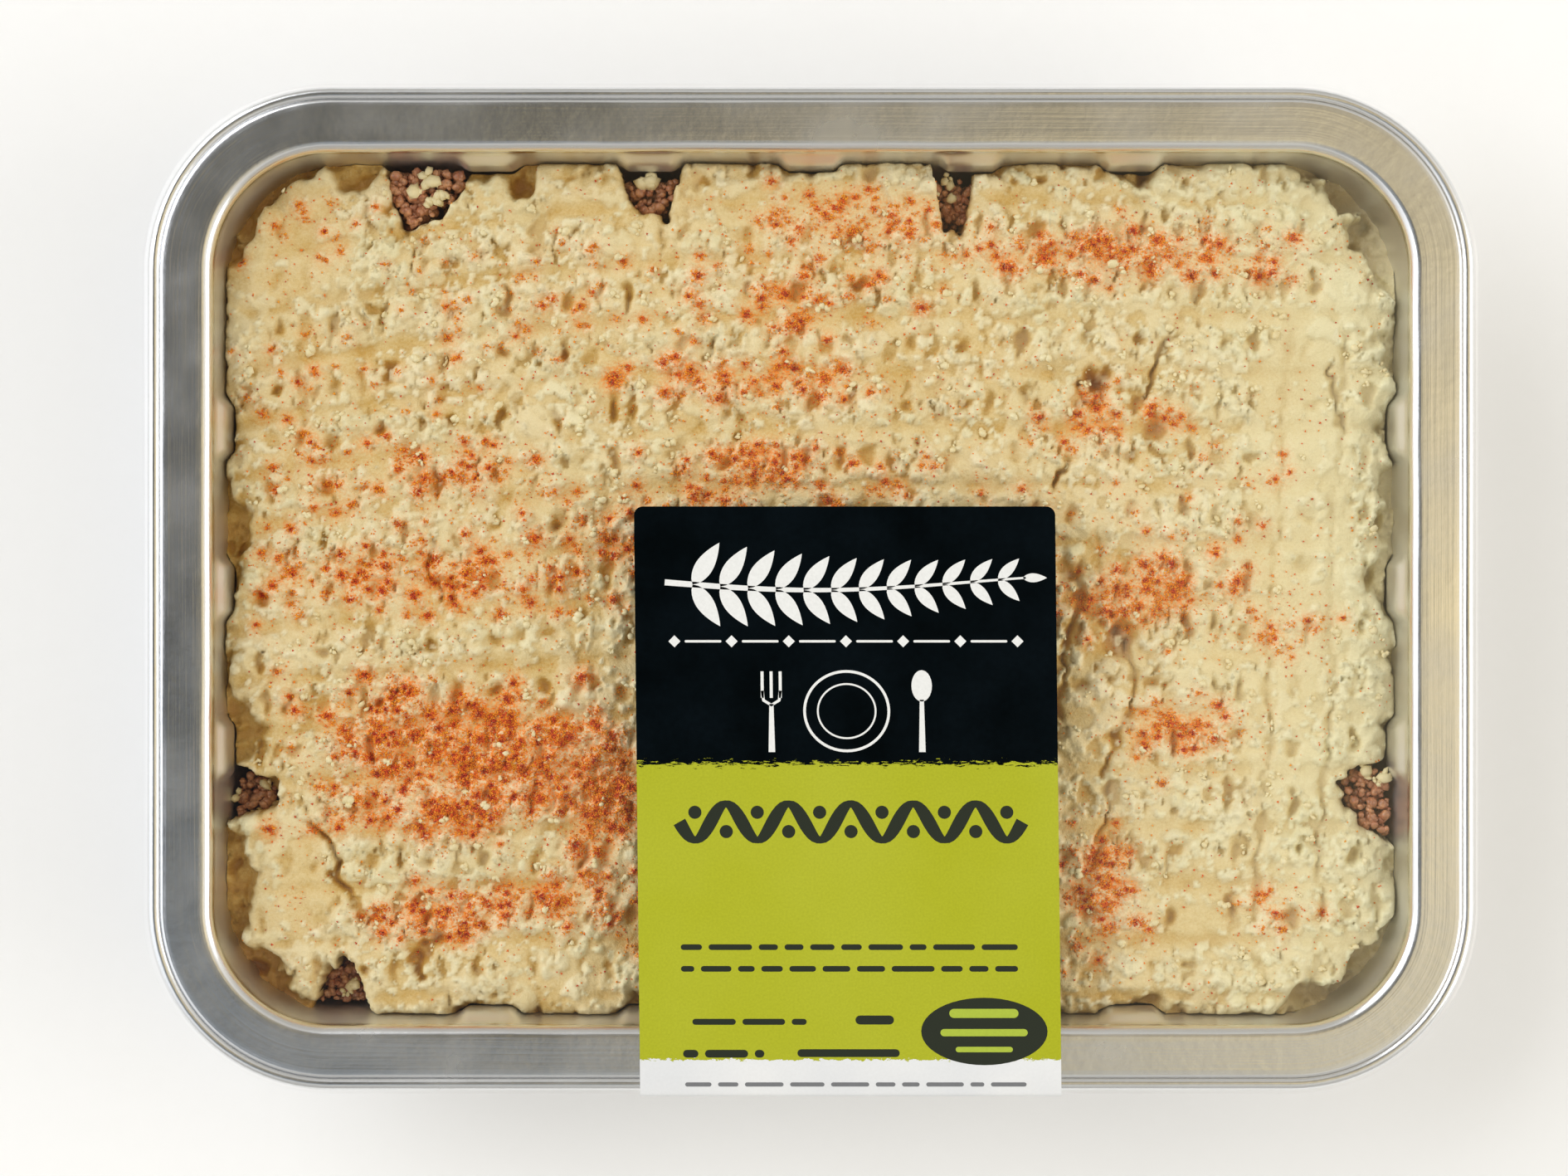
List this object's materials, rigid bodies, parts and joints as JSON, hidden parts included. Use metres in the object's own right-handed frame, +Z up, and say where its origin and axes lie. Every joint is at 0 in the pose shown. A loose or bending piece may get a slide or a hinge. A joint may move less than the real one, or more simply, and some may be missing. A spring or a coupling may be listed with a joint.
{
  "type": "tray-packed shepherd's pie",
  "caption": "Chilled shepherd's pie in a smooth foil tray: mince bed, waffled mashed potato topping, clear sealed film and a folded label.",
  "frame": {"origin": "middle of the tray's footprint, on the surface it stands on", "axes": "+X along the tray's long side, to the right of someone facing the folded end of the label; +Y to the back, away from that fold; +Z up"},
  "size_m": [0.2226, 0.1695, 0.0366],
  "materials": {
    "tray_foil": "satin rolled foil",
    "minced_meat": "moist, crumbly",
    "mashed_potato": "soft, crumbly, dusted with paprika",
    "clear_film": "clear, glossy",
    "printed_label": "semi-gloss printed paper"
  },
  "bodies": {
    "root": {"foil_tray": "tray_foil", "mince_filling": "minced_meat", "mash_topping": "mashed_potato", "lid_film": "clear_film", "paper_label": "printed_label"}
  },
  "joints": []
}
